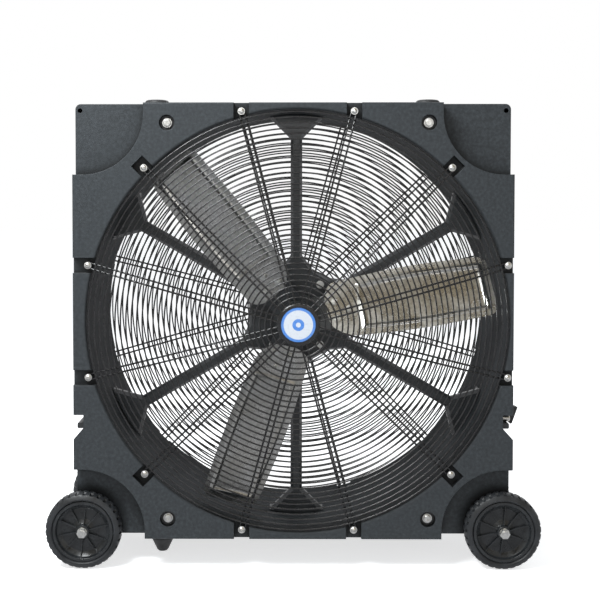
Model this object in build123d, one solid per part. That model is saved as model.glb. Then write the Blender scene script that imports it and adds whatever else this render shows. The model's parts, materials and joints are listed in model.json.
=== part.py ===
from build123d import *
import math
import os

# Portable 42-inch axial air mover. Millimetres, +Z up, +X to the right seen from the front,
# and the front, where the air leaves, faces -Y. The origin is under the middle, at floor level.

# ---------------------------------------------------------------- driving dimensions
HOUSING_W = 1118.0            # housing, across X
HOUSING_BOTTOM = 77.0         # ground clearance
HOUSING_TOP = 1188.0
HOUSING_D = 400.0             # housing, along Y
WALL = 5.0                    # moulded wall
EDGE_R = 14.0                 # corners of the housing seen from the front
FACE_EDGE_R = 4.0             # edges of its two faces

DUCT_R = 538.0                # duct bore
FAN_X = 12.0                  # fan axis
FAN_Z = 633.0
LIP_R = 6.0                   # rounded edge at each mouth of the duct

CORNER_W = 180.0              # stacking recess in each upper corner
CORNER_H = 182.0
CORNER_R = 155.0
RECESS_DEPTH = 50.0           # depth of corner recesses and wheel wells from either face

WHEEL_X = 536.0               # wheel axes
WHEEL_R = 97.0
WHEEL_WIDTH = 51.0
WHEEL_FACE_Y = 208.0          # outer face of a wheel
WHEEL_RIM_R = 78.0            # where the tyre sits on the rim
WHEEL_BOSS_R = 17.0
TYRE_SHOULDER_R = 9.0
WHEEL_RIBS = 10
WELL_R = 158.0
AXLE_R = 8.0
AXLE_END_Y = 223.0
AXLE_GAP = 0.4                # end play of a wheel on each side

POCKET_TOP = 395.0            # channel along each side, used as a grab pocket
POCKET_FLOOR = 361.0          # where the floor starts to slope outward
POCKET_LOW = 332.0
POCKET_DEPTH = 26.0
RAIL_Y = 190.0                # ends of the rail in each side channel
RAIL_W = 17.0
RAIL_Z0, RAIL_Z1 = 359.5, 373.5
RAIL_NOTCH_Y0, RAIL_NOTCH_Y1 = -153.0, -115.0     # gap in the right rail for the cleat

SCREW_CIRCLE_R = 552.0        # guard screws round the duct
SCREW_COUNT = 12
SCREW_SEAT_DEPTH = 17.5       # floor of the screw seats below the face
SEAT_W = 39.0
SEAT_END_R = 572.0            # outer end of the seats at the diagonals
SEAT_RUN = 130.0              # length of the seats that run out to an edge
SEAT_SHIFT = 40.0             # their middle lies this far outside the screw

BOLT_DX = 331.0               # four long bolts round the fan axis
BOLT_DZ = 504.0
BOLT_R = 6.0
BOLT_HEAD_R = 9.5
GROMMET_R = 18.5
COUNTERBORE_R = 19.5
COUNTERBORE_DEPTH = 16.0
TIE_HOLE_R = 6.0              # lashing hole through each upper corner
TIE_HOLE_X, TIE_HOLE_Z = 547.0, 1171.0

RING_WIRE_R = 2.0
RING_SECTION_SIDES = 8
SPOKE_WIRE_R = 2.4
SPOKE_START_R = 30.0
RING_FIRST_R = 68.0
RING_LAST_R = 532.0
RING_COUNT = 34
GUARD_RIM_Y = 197.0           # guard rings at the rim, measured from mid depth
GUARD_DOME = 62.0             # how far the middle of a guard stands proud of its rim
SPOKE_HALF_GAP = 6.9          # half the distance between the two wires of a hairpin
CENTRE_PLATE_R = 53.0
CENTRE_PLATE_T = 8.6
BADGE_R = 43.0
FLANGE_HEAD_R = 9.2           # guard screw flange
GUARD_SCREW_R = 4.0

SPIDER_FRONT_Y = -30.0
SPIDER_SHEET = 3.0
SPIDER_DEPTH = 26.0
SPIDER_FOOT_Y = 22.0          # rear edge of the feet on the duct wall
SPIDER_BOLT_Y = 12.0
SPIDER_BOLT_SWING = 5.0       # each foot has a bolt this many degrees to either side
SPIDER_BOLT_R = 4.0
SPIDER_HOLE_R = 30.0
BEVEL_W = 7.0                 # sloped sides of the pressing
BEVEL_DEPTH = 14.0
ARM_COUNT = 6
ARM_W = 31.0
ARM_FLARE_R = 474.0           # where an arm starts to widen towards the duct wall
ARM_END_W = 152.0
PLATE_R = 128.0               # centre plate, across its flats
PLATE_FLAT = 26.0             # half length of each flat
PLATE_FLARE_R = 160.0

MOTOR_R = 88.0
MOTOR_LIP = 3.0               # the end bells stand this much proud of the shell
MOTOR_SHEET = 3.0
BELL_FRONT_Y = SPIDER_FRONT_Y + SPIDER_SHEET + 0.1
BELL_NOSE_R = 28.0
FLANGE_R = 114.0
FLANGE_T = 8.0
SHELL_FRONT_Y = 22.0
SHELL_REAR_Y = 150.0
MOTOR_REAR_Y = 186.0
MOUNT_BOLT_R = 103.0          # circle of the four motor bolts
MOUNT_BOLT_ANGLES = (52, 128, 232, 308)
MOUNT_HOLE_R = 5.2
CORE_Y0, CORE_Y1 = 48.0, 124.0
STATOR_BORE_R = 52.0
ROTOR_R = 51.4
WINDING_R0, WINDING_R1, WINDING_L = 58.0, 76.0, 16.0
SHAFT_R = 9.5
SHAFT_FRONT_Y = -136.0
BEARING_R = 20.0
BEARING_W = 12.0
BEARING_GAP = 0.03
FRONT_BEARING_Y = BELL_FRONT_Y - 8.0
REAR_BEARING_Y = 160.0
FIN_COUNT = 20
FIN_H = 7.0
CAPACITOR_R = 19.0
CAPACITOR_Y0, CAPACITOR_Y1 = 44.0, 128.0
STRAP_Y0, STRAP_Y1 = 76.0, 96.0

FAN_Y = -92.0                 # middle plane of the blades
BLADE_COUNT = 3
BLADE_FIRST_ANGLE = 9.4       # from +X, turning up
BLADE_TIP_R = 520.0
BLADE_THICKNESS = 2.5
BLADE_PITCH = 24.0
BLADE_CAMBER_R = 420.0
BLADE_POINTS = (              # along the blade and across it, before the tip is cut round
    (78, 40), (96, 76), (300, 90), (560, 78), (560, -80), (300, -88), (128, -76), (84, -40),
)
BLADE_CORNER_R = 16.0
BLADE_TIP_CORNER_R = 26.0
BLADE_BOLTS = ((104, 24), (104, -24), (140, 0))
HUB_R = 44.0
HUB_DISC_R = 62.0
HUB_Y0, HUB_Y1 = -124.0, -60.0
HUB_ARM_T = 5.0
HUB_ARM_W = 84.0
HUB_ARM_END = 170.0

CLEAT_PIN_X, CLEAT_PIN_Z = 550.0, 385.5
CLEAT_PIN_R = 3.0
CLEAT_EYE_R = 5.2
CLEAT_Y0, CLEAT_Y1 = -146.0, -124.0
CLEAT_POINTS = (              # outward and upward from the pin: eye, bar and hooked top
    (0, -5), (1, -13), (13, -22.2), (16.9, -21.7), (32, 20.1), (15, 25.5),
    (14, 22), (18.5, 19), (17.5, 14.5), (12, 11), (9.5, 5), (0, 5),
)
EAR_T = 4.0
GLAND_Y, GLAND_Z = -172.0, 383.5
GLAND_R = 8.4
GLAND_THREAD_R = 6.4
CORD_R = 4.0                  # bore of the gland

FOOT_X, FOOT_Y = -348.0, -50.0
FOOT_POINTS = ((0, 0), (12, 0), (15, 3), (28, 30), (30, 34), (30, 50), (0, 50))
STEM_R = 10.0
STEM_L = 140.0
SLEEVE_R = 14.0
SLEEVE_L = 110.0
STUD_X = 360.0
STUD_Y = -50.0
STUD_R = 32.0
STUD_TOP = 19.0
STUD_EDGE_R = 8.0

KNOB_X, KNOB_Z = 492.0, 290.0
KNOB_R = 16.0
KNOB_SKIRT_R = 21.0
KNOB_SPINDLE_R = 3.0
SWITCH_HALF_W = 20.0
SWITCH_DEPTH = 42.0
SWITCH_NECK_R = 6.5
PLATE_HALF_W = 28.0

FRONT, REAR = -1, 1
PARTS_FOLDER = "parts"

# ---------------------------------------------------------------- worked out from those
HALF_W = HOUSING_W / 2
HALF_D = HOUSING_D / 2
POCKET_BACK = HALF_W - POCKET_DEPTH
WELL_FACE_Y = HALF_D - RECESS_DEPTH
SEGMENT_ANGLE = 360.0 / SCREW_COUNT
FACE_PLANE = Plane(origin=(0, 0, 0), x_dir=(1, 0, 0), z_dir=(0, -1, 0))

GUARD_SPHERE_R = (RING_LAST_R ** 2 + GUARD_DOME ** 2) / (2 * GUARD_DOME)
GUARD_CENTRE_Y = GUARD_RIM_Y + GUARD_DOME - GUARD_SPHERE_R
SPOKE_SPHERE_R = GUARD_SPHERE_R - RING_WIRE_R - SPOKE_WIRE_R - 0.2
PLATE_BACK_Y = GUARD_RIM_Y + GUARD_DOME - 1.6
PLATE_FRONT_Y = PLATE_BACK_Y + CENTRE_PLATE_T


# ---------------------------------------------------------------- helpers
def box(x0, x1, y0, y1, z0, z1):
    """Block between two corners."""
    return Pos((x0 + x1) / 2, (y0 + y1) / 2, (z0 + z1) / 2) * Box(x1 - x0, y1 - y0, z1 - z0)


def rod_y(x, z, radius, y0, y1):
    """Cylinder along Y."""
    return Pos(x, (y0 + y1) / 2, z) * Rot(90, 0, 0) * Cylinder(radius, y1 - y0)


def rod_x(y, z, radius, x0, x1):
    """Cylinder along X."""
    return Pos((x0 + x1) / 2, y, z) * Rot(0, 90, 0) * Cylinder(radius, x1 - x0)


def ring_y(x, z, outer, inner, y0, y1):
    """Tube along Y."""
    return rod_y(x, z, outer, y0, y1) - rod_y(x, z, inner, y0 - 1, y1 + 1)


def hex_y(x, z, flats, y0, y1):
    """Hexagonal prism along Y."""
    outline = RegularPolygon(flats / 2, 6, major_radius=False)
    plane = Plane(origin=(x, y0, z), x_dir=(1, 0, 0), z_dir=(0, 1, 0))
    return extrude(plane * outline, amount=y1 - y0)


def face_prism(sketch, y0, y1):
    """Extrude a sketch drawn as seen from the front, between two depths."""
    return Pos(0, y1, 0) * extrude(FACE_PLANE * sketch, amount=y1 - y0)


def turned(profile, x, z, arc=360.0):
    """Turn a profile, drawn as (radius, depth), round an axis along Y."""
    plane = Plane(origin=(x, 0, z), x_dir=(1, 0, 0), z_dir=(0, 0, 1))
    return revolve(plane * profile, Axis((x, 0, z), (0, 1, 0)), arc)


def turned_z(profile, x, y):
    """Turn a profile, drawn as (radius, height), round an upright axis."""
    plane = Plane(origin=(x, y, 0), x_dir=(1, 0, 0), z_dir=(0, -1, 0))
    return revolve(plane * profile, Axis((x, y, 0), (0, 0, 1)), 360)


def polar(radius, angle):
    """Point in the front view, at an angle from +X turning up, about the fan axis."""
    a = math.radians(angle)
    return FAN_X + radius * math.cos(a), FAN_Z + radius * math.sin(a)


def about_fan(solid, angle):
    """Turn a solid about the fan axis, from +X upward."""
    return Pos(FAN_X, 0, FAN_Z) * Rot(0, -angle, 0) * Pos(-FAN_X, 0, -FAN_Z) * solid


def radial_rod(angle, y, radius, r0, r1):
    """Cylinder along a radius of the fan."""
    return about_fan(rod_x(y, FAN_Z, radius, FAN_X + r0, FAN_X + r1), angle)


def mirrored(solid, side):
    """Keep a solid made for the rear, or mirror it to the front."""
    return solid if side == REAR else mirror(solid, Plane.XZ)


def group(shapes):
    """Separate solids that share one node."""
    return Compound([solid for shape in shapes for solid in shape.solids()])


def screw_angles():
    """Guard screw angles, from +X."""
    return [SEGMENT_ANGLE / 2 + SEGMENT_ANGLE * i for i in range(SCREW_COUNT)]


def arm_angles():
    """Spider arm angles, from +X."""
    return [30 + 360 / ARM_COUNT * i for i in range(ARM_COUNT)]


def spider_bolt_angles():
    """Angles of the bolts that hold the spider to the duct wall."""
    return [angle + swing * SPIDER_BOLT_SWING for angle in arm_angles() for swing in (-1, 1)]


def blade_angles():
    """Blade angles, from +X."""
    return [BLADE_FIRST_ANGLE + 360 / BLADE_COUNT * i for i in range(BLADE_COUNT)]


def through_bolt_places():
    """The four long bolts, seen from the front."""
    return [(FAN_X + sx * BOLT_DX, FAN_Z + sz * BOLT_DZ) for sx in (-1, 1) for sz in (-1, 1)]


nodes = {}


# ---------------------------------------------------------------- housing
def duct_cut(inset):
    """Bore of the duct; the outer form has a rounded lip at each mouth."""
    reach = HALF_D + 1
    cut = rod_y(FAN_X, FAN_Z, DUCT_R + inset, -reach, reach)
    if inset:
        return cut
    for side in (FRONT, REAR):
        profile = Pos(DUCT_R + LIP_R / 2, side * (HALF_D - LIP_R / 2)) * Rectangle(LIP_R, LIP_R)
        profile -= Pos(DUCT_R + LIP_R, side * (HALF_D - LIP_R)) * Circle(LIP_R)
        cut += turned(profile, FAN_X, FAN_Z)
    return cut


def corner_cut(side_x, side_y, inset):
    """Upper corner recess, with its rounded inner corner."""
    half = HALF_W + 1
    width = CORNER_W + inset + 1
    height = CORNER_H + inset + 1
    outline = Pos(side_x * (half - width / 2), HOUSING_TOP + 1 - height / 2) * Rectangle(width, height)
    inner_x = side_x * (half - width)
    corner = min(outline.vertices(), key=lambda v: (abs(v.X - inner_x), v.Y))
    outline = fillet(corner, CORNER_R + inset)
    return face_prism(outline, *face_span(side_y, RECESS_DEPTH + inset))


def face_span(side_y, depth):
    """The depths between a recess's floor and a little outside a face."""
    return sorted((side_y * (HALF_D - depth), side_y * (HALF_D + 1)))


def well_cut(side_x, side_y, inset):
    """Wheel well, round about the wheel axis and open below and outward."""
    radius = WELL_R + inset
    outline = Pos(side_x * WHEEL_X, WHEEL_R) * Circle(radius)
    outline += Pos(side_x * WHEEL_X, WHEEL_R - radius / 2) * Rectangle(2 * radius, radius)
    outline += Pos(side_x * (WHEEL_X + radius / 2), WHEEL_R) * Rectangle(radius, 2 * radius)
    return face_prism(outline, *face_span(side_y, RECESS_DEPTH + inset))


def pocket_cut(side_x, inset):
    """Side channel: flat roof, upright back, floor that slopes down and outward."""
    depth = POCKET_DEPTH + inset
    top = POCKET_TOP + inset
    floor = POCKET_FLOOR - inset
    low = POCKET_LOW - inset
    outer = HALF_W + 1
    points = [
        (side_x * outer, top),
        (side_x * (HALF_W - depth), top),
        (side_x * (HALF_W - depth), floor),
        (side_x * HALF_W, low),
        (side_x * outer, low),
    ]
    return face_prism(make_face(Polyline(*points, close=True)), -HALF_D - 1, HALF_D + 1)


def screw_seats(side_y, inset):
    """Seats for the guard screws: square at the diagonals, run out to the edges elsewhere."""
    width = SEAT_W + 2 * inset
    start = DUCT_R - 4
    outlines = []
    for angle in screw_angles():
        x, z = polar(SCREW_CIRCLE_R, angle)
        if abs(math.sin(math.radians(2 * angle))) > 0.99:
            length = SEAT_END_R + inset + 4 - start
            seat = Rot(0, 0, angle) * Pos(start + length / 2, 0) * Rectangle(length, width)
            outlines.append(Pos(FAN_X, FAN_Z) * seat)
        elif abs(x - FAN_X) < abs(z - FAN_Z):
            shift = math.copysign(SEAT_SHIFT, z - FAN_Z)
            outlines.append(Pos(x, z + shift) * Rectangle(width, SEAT_RUN))
        else:
            shift = math.copysign(SEAT_SHIFT, x - FAN_X)
            outlines.append(Pos(x + shift, z) * Rectangle(SEAT_RUN, width))
    span = face_span(side_y, SCREW_SEAT_DEPTH + inset)
    return Part() + [face_prism(seat, *span) for seat in outlines]


def housing_form(inset):
    """Outer form of the housing, or its cavity when inset by the wall."""
    form = box(
        -HALF_W + inset, HALF_W - inset,
        -HALF_D + inset, HALF_D - inset,
        HOUSING_BOTTOM + inset, HOUSING_TOP - inset,
    )
    if not inset:
        form = fillet(form.edges().filter_by(Axis.Y), EDGE_R)
        by_depth = form.edges().group_by(Axis.Y)
        form = fillet(by_depth[0] + by_depth[-1], FACE_EDGE_R)
    form -= duct_cut(inset)
    for side_x in (-1, 1):
        form -= pocket_cut(side_x, inset)
        for side_y in (FRONT, REAR):
            form -= corner_cut(side_x, side_y, inset)
            form -= well_cut(side_x, side_y, inset)
    for side_y in (FRONT, REAR):
        form -= screw_seats(side_y, inset)
        for x, z in through_bolt_places():
            span = face_span(side_y, COUNTERBORE_DEPTH + inset)
            form -= rod_y(x, z, COUNTERBORE_R + inset, *span)
    for side_x in (-1, 1):
        form -= rod_y(side_x * TIE_HOLE_X, TIE_HOLE_Z, TIE_HOLE_R + inset, -HALF_D, HALF_D)
    return form


def make_housing():
    """Two half shells that meet at mid depth."""
    wall = housing_form(0) - housing_form(WALL)
    reach = HALF_D + 5
    for side_x in (-1, 1):
        wall -= rod_y(side_x * WHEEL_X, WHEEL_R, AXLE_R + 0.3, -reach, reach)
    for x, z in through_bolt_places():
        wall -= rod_y(x, z, BOLT_R + 0.3, -reach, reach)
    for angle in screw_angles():
        x, z = polar(SCREW_CIRCLE_R, angle)
        wall -= rod_y(x, z, GUARD_SCREW_R + 0.2, -reach, reach)
    for angle in spider_bolt_angles():
        wall -= radial_rod(angle, SPIDER_BOLT_Y, SPIDER_BOLT_R + 0.3, DUCT_R - 3, DUCT_R + WALL + 3)
    wall -= rod_x(GLAND_Y, GLAND_Z, GLAND_THREAD_R + 0.2, POCKET_BACK - WALL - 3, HALF_W)
    wall -= Pos(FOOT_X, FOOT_Y, HOUSING_BOTTOM) * Cylinder(SLEEVE_R + 0.3, 4 * WALL)
    wall -= rod_y(KNOB_X, KNOB_Z, SWITCH_NECK_R + 0.5, HALF_D - WALL - 1, HALF_D + 1)
    half = box(-HALF_W - 5, HALF_W + 5, -reach, 0, 0, HOUSING_TOP + 5)
    nodes["front_housing_shell"] = wall & half
    nodes["rear_housing_shell"] = wall - half


# ---------------------------------------------------------------- wire guards


def dome_y(radius, sphere_r=GUARD_SPHERE_R):
    """Depth of the domed guard at a radius from the fan axis, on the rear side."""
    return GUARD_CENTRE_Y + math.sqrt(sphere_r ** 2 - radius ** 2)


def guard_rings(side):
    """Concentric rings that lie on a sphere, of many-sided wire."""
    pitch = (RING_LAST_R - RING_FIRST_R) / (RING_COUNT - 1)
    rings = []
    for i in range(RING_COUNT):
        radius = RING_FIRST_R + pitch * i
        section = Pos(radius, dome_y(radius)) * RegularPolygon(RING_WIRE_R, RING_SECTION_SIDES)
        rings.append(mirrored(turned(section, FAN_X, FAN_Z), side))
    return rings


def hairpin():
    """Double spoke: out along the dome, round the screw and back."""
    start_r, end_r = SPOKE_START_R, SCREW_CIRCLE_R
    middle_r = (start_r + end_r) / 2
    gap = SPOKE_HALF_GAP
    tilt = math.asin(end_r / SPOKE_SPHERE_R)

    def point(radius, offset):
        return Vector(FAN_X + radius, dome_y(radius, SPOKE_SPHERE_R), FAN_Z + offset)

    turn = point(end_r, 0) + Vector(gap * math.cos(tilt), -gap * math.sin(tilt), 0)
    path = Wire([
        Edge.make_three_point_arc(point(start_r, gap), point(middle_r, gap), point(end_r, gap)),
        Edge.make_three_point_arc(point(end_r, gap), turn, point(end_r, -gap)),
        Edge.make_three_point_arc(point(end_r, -gap), point(middle_r, -gap), point(start_r, -gap)),
    ])
    section = Plane(origin=path @ 0, z_dir=path % 0) * Circle(SPOKE_WIRE_R)
    return sweep(section, path=path)


def guard_screw(side):
    """Flanged button-head screw at angle zero."""
    x, z = FAN_X + SCREW_CIRCLE_R, FAN_Z
    seat = dome_y(SCREW_CIRCLE_R - FLANGE_HEAD_R, SPOKE_SPHERE_R) + SPOKE_WIRE_R + 0.3
    screw = rod_y(x, z, GUARD_SCREW_R, seat - 30, seat + 1)
    screw += rod_y(x, z, FLANGE_HEAD_R, seat, seat + 1.8)
    button = Pos(x, seat - 3, z) * Sphere(FLANGE_HEAD_R + 0.2)
    screw += button & rod_y(x, z, FLANGE_HEAD_R - 2, seat + 1, seat + 6)
    screw -= hex_y(x, z, GUARD_SCREW_R + 1, seat + 3, seat + 8)
    return mirrored(screw, side)


def centre_plate(side):
    """Pressed disc that holds the inner ends of the spokes."""
    profile = Pos(CENTRE_PLATE_R / 2, (PLATE_BACK_Y + PLATE_FRONT_Y) / 2)
    profile *= Rectangle(CENTRE_PLATE_R, PLATE_FRONT_Y - PLATE_BACK_Y)
    rim = max(profile.vertices(), key=lambda v: (round(v.X), v.Y))
    profile = fillet(rim, 4.5)
    plate = turned(profile, FAN_X, FAN_Z)
    plate -= rod_y(FAN_X, FAN_Z, BADGE_R + 0.5, PLATE_FRONT_Y - 3, PLATE_FRONT_Y + 1)
    return mirrored(plate, side)


def make_guards():
    """Front and rear guards; only the front one carries the badge disc."""
    pin = hairpin()
    for side, name in ((FRONT, "front"), (REAR, "rear")):
        nodes[name + "_guard_rings"] = group(guard_rings(side))
        wire = mirrored(pin, side)
        nodes[name + "_guard_spokes"] = group([about_fan(wire, a) for a in screw_angles()])
        screw = guard_screw(side)
        nodes[name + "_guard_screws"] = group([about_fan(screw, a) for a in screw_angles()])
        nodes[name + "_guard_centre_plate"] = centre_plate(side)
    badge = rod_y(FAN_X, FAN_Z, BADGE_R, PLATE_FRONT_Y - 2.9, PLATE_FRONT_Y - 0.8)
    nodes["badge_disc"] = mirrored(badge, FRONT)


# ---------------------------------------------------------------- motor frame


def spider_outline():
    """Six arms, flared at the duct wall and at the centre plate, seen from the front."""
    half = ARM_W / 2
    end = ARM_END_W / 2
    mid = math.radians(180 / ARM_COUNT)
    shoulder = (
        PLATE_R * math.cos(mid) + PLATE_FLAT * math.sin(mid),
        PLATE_R * math.sin(mid) - PLATE_FLAT * math.cos(mid),
    )
    arm = [shoulder, (PLATE_FLARE_R, half), (ARM_FLARE_R, half), (ARM_FLARE_R + end - half, end)]
    arm.append((DUCT_R + 20, end + 4))
    arm = [(u, -v) for u, v in arm] + [(u, v) for u, v in reversed(arm)]
    points = []
    for angle in arm_angles():
        a = math.radians(angle)
        for u, v in arm:
            x = FAN_X + u * math.cos(a) - v * math.sin(a)
            z = FAN_Z + u * math.sin(a) + v * math.cos(a)
            points.append((x, z))
    return make_face(Polyline(*points, close=True))


def spider_form(inset, front):
    """Pressing with sloped sides that end in an upright rim, open towards the rear."""
    outline = spider_outline()
    if inset:
        outline = offset(outline, -inset, kind=Kind.INTERSECTION)
    taper = math.degrees(math.atan(BEVEL_W / BEVEL_DEPTH))
    knee = front + BEVEL_DEPTH
    slope = Pos(0, knee, 0) * extrude(FACE_PLANE * outline, amount=BEVEL_DEPTH, taper=taper)
    rim = face_prism(outline, knee, SPIDER_FRONT_Y + SPIDER_DEPTH + inset)
    return slope + rim


def make_spider():
    """Motor frame and the bolts that hold it to the duct wall."""
    frame = spider_form(0, SPIDER_FRONT_Y) - spider_form(SPIDER_SHEET, SPIDER_FRONT_Y + SPIDER_SHEET)
    wall_r = DUCT_R - 0.4
    frame &= rod_y(FAN_X, FAN_Z, wall_r - 1, SPIDER_FRONT_Y - 1, SPIDER_FRONT_Y + SPIDER_DEPTH + 5)
    foot = ring_y(FAN_X, FAN_Z, wall_r, wall_r - SPIDER_SHEET, SPIDER_FRONT_Y + 4, SPIDER_FOOT_Y)
    foot_half = ARM_END_W / 2 - 4
    foot &= box(FAN_X, FAN_X + DUCT_R, -HALF_D, HALF_D, FAN_Z - foot_half, FAN_Z + foot_half)
    for angle in arm_angles():
        frame += about_fan(foot, angle)
    for angle in spider_bolt_angles():
        frame -= radial_rod(angle, SPIDER_BOLT_Y, SPIDER_BOLT_R + 0.2, DUCT_R - 12, DUCT_R + 5)
    frame -= rod_y(FAN_X, FAN_Z, SPIDER_HOLE_R, SPIDER_FRONT_Y - 5, 0)
    for angle in MOUNT_BOLT_ANGLES:
        x, z = polar(MOUNT_BOLT_R, angle)
        frame -= rod_y(x, z, MOUNT_HOLE_R, SPIDER_FRONT_Y - 5, 0)
    nodes["motor_spider"] = frame

    bolts = []
    back = DUCT_R + WALL
    for angle in spider_bolt_angles():
        bolt = radial_rod(angle, SPIDER_BOLT_Y, SPIDER_BOLT_R, wall_r - 4, back + 5.5)
        bolt += radial_rod(angle, SPIDER_BOLT_Y, SPIDER_BOLT_R + 3, wall_r - 8, wall_r - 3.3)
        bolt += radial_rod(angle, SPIDER_BOLT_Y, SPIDER_BOLT_R + 2.5, back + 0.3, back + 5)
        bolts.append(bolt)
    nodes["spider_bolts"] = group(bolts)


# ---------------------------------------------------------------- motor


def make_bells():
    """Front and rear covers of the motor, with their bearing seats."""
    bell = rod_y(FAN_X, FAN_Z, FLANGE_R, BELL_FRONT_Y, BELL_FRONT_Y + FLANGE_T)
    bell += rod_y(FAN_X, FAN_Z, MOTOR_R + MOTOR_LIP, BELL_FRONT_Y, SHELL_FRONT_Y)
    bell += rod_y(FAN_X, FAN_Z, BELL_NOSE_R, BELL_FRONT_Y - 12, BELL_FRONT_Y)
    bell -= rod_y(FAN_X, FAN_Z, MOTOR_R - 8, BELL_FRONT_Y + 12, SHELL_FRONT_Y + 1)
    bell -= rod_y(FAN_X, FAN_Z, SHAFT_R + 2.5, BELL_FRONT_Y - 20, SHELL_FRONT_Y)
    bell -= rod_y(FAN_X, FAN_Z, BEARING_R + 0.05, FRONT_BEARING_Y, SHELL_FRONT_Y)
    for angle in MOUNT_BOLT_ANGLES:
        x, z = polar(MOUNT_BOLT_R, angle)
        bell -= rod_y(x, z, MOUNT_HOLE_R, BELL_FRONT_Y - 1, BELL_FRONT_Y + FLANGE_T + 1)
    nodes["motor_front_bell"] = bell

    rear = rod_y(FAN_X, FAN_Z, MOTOR_R + MOTOR_LIP, SHELL_REAR_Y, MOTOR_REAR_Y)
    rear = fillet(rear.edges().group_by(Axis.Y)[-1], 12)
    rear -= rod_y(FAN_X, FAN_Z, MOTOR_R - 8, SHELL_REAR_Y - 1, MOTOR_REAR_Y - 20)
    rear += rod_y(FAN_X, FAN_Z, BELL_NOSE_R + 2, REAR_BEARING_Y - 2, MOTOR_REAR_Y)
    rear -= rod_y(FAN_X, FAN_Z, BEARING_R + 0.05, REAR_BEARING_Y - 5, REAR_BEARING_Y + BEARING_W)
    nodes["motor_rear_bell"] = rear


def make_motor_shell():
    """Finned shell between the bells, with the stator pressed into it."""
    shell = rod_y(FAN_X, FAN_Z, MOTOR_R, SHELL_FRONT_Y, SHELL_REAR_Y)
    fin = box(
        FAN_X + MOTOR_R - 2, FAN_X + MOTOR_R + FIN_H,
        SHELL_FRONT_Y + 8, SHELL_REAR_Y - 8,
        FAN_Z - 1.5, FAN_Z + 1.5,
    )
    for i in range(FIN_COUNT):
        angle = 360 / FIN_COUNT * (i + 0.5)
        under_capacitor = abs(angle - 90) <= 20
        if not under_capacitor:
            shell += about_fan(fin, angle)
    inside = MOTOR_R - MOTOR_SHEET
    nodes["motor_shell"] = shell - rod_y(FAN_X, FAN_Z, inside, SHELL_FRONT_Y - 1, SHELL_REAR_Y + 1)
    nodes["stator_core"] = ring_y(FAN_X, FAN_Z, inside - 0.1, STATOR_BORE_R, CORE_Y0, CORE_Y1)
    ends = [(CORE_Y0 - WINDING_L, CORE_Y0 - 0.1), (CORE_Y1 + 0.1, CORE_Y1 + WINDING_L)]
    windings = [ring_y(FAN_X, FAN_Z, WINDING_R1, WINDING_R0, *end) for end in ends]
    nodes["stator_windings"] = group(windings)


def make_motor():
    """Totally enclosed motor on the rear of the frame, with its bearings, bolts and capacitor."""
    make_bells()
    make_motor_shell()
    for name, y in (("front_bearing", FRONT_BEARING_Y), ("rear_bearing", REAR_BEARING_Y)):
        ring = ring_y(FAN_X, FAN_Z, BEARING_R, SHAFT_R + BEARING_GAP, y + 0.1, y + BEARING_W - 0.1)
        nodes[name] = ring

    bolts = []
    flange_back = BELL_FRONT_Y + FLANGE_T
    for angle in MOUNT_BOLT_ANGLES:
        x, z = polar(MOUNT_BOLT_R, angle)
        bolt = rod_y(x, z, MOUNT_HOLE_R - 0.2, SPIDER_FRONT_Y - 3, flange_back + 9)
        bolt += rod_y(x, z, 10.5, SPIDER_FRONT_Y - 2.2, SPIDER_FRONT_Y - 0.1)
        bolt += hex_y(x, z, 16, SPIDER_FRONT_Y - 9, SPIDER_FRONT_Y - 2)
        bolt += hex_y(x, z, 16, flange_back + 0.1, flange_back + 8)
        bolts.append(bolt)
    nodes["motor_mount_bolts"] = group(bolts)

    top = FAN_Z + MOTOR_R + CAPACITOR_R + 3
    nodes["run_capacitor"] = rod_y(FAN_X, top, CAPACITOR_R, CAPACITOR_Y0, CAPACITOR_Y1)
    strap = ring_y(FAN_X, top, CAPACITOR_R + 3, CAPACITOR_R + 0.1, STRAP_Y0, STRAP_Y1)
    strap += box(
        FAN_X - 12, FAN_X + 12, STRAP_Y0, STRAP_Y1,
        FAN_Z + MOTOR_R - 0.3, top - CAPACITOR_R - 0.6,
    )
    nodes["capacitor_strap"] = strap - rod_y(FAN_X, FAN_Z, MOTOR_R + 0.05, STRAP_Y0 - 6, STRAP_Y1 + 4)


# ---------------------------------------------------------------- rotor and blades


def camber_sheet(inner, thickness, u0, u1):
    """Cylindrical sheet along +X, hollow side to the front, set at the blade pitch."""
    length = u1 - u0
    sheet = Pos(u0 + length / 2, -BLADE_CAMBER_R, 0) * Rot(0, 90, 0)
    sheet *= Cylinder(inner + thickness, length) - Cylinder(inner, length + 2)
    sheet &= box(u0 - 1, u1 + 1, -60, 60, -140, 140)    # keeps the side near the fan plane
    return Rot(-BLADE_PITCH, 0, 0) * sheet


def blade_outline():
    """Blade seen from the front, along +X from the fan axis."""
    outline = fillet(make_face(Polyline(*BLADE_POINTS, close=True)).vertices(), BLADE_CORNER_R)
    outline &= Circle(BLADE_TIP_R)
    return fillet(outline.vertices().sort_by(Axis.X)[-2:], BLADE_TIP_CORNER_R)


def to_fan(solid, angle=0.0):
    """Move a solid made about the origin onto the fan axis at the blade plane, and turn it."""
    return about_fan(Pos(FAN_X, FAN_Y, FAN_Z) * solid, angle)


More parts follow.
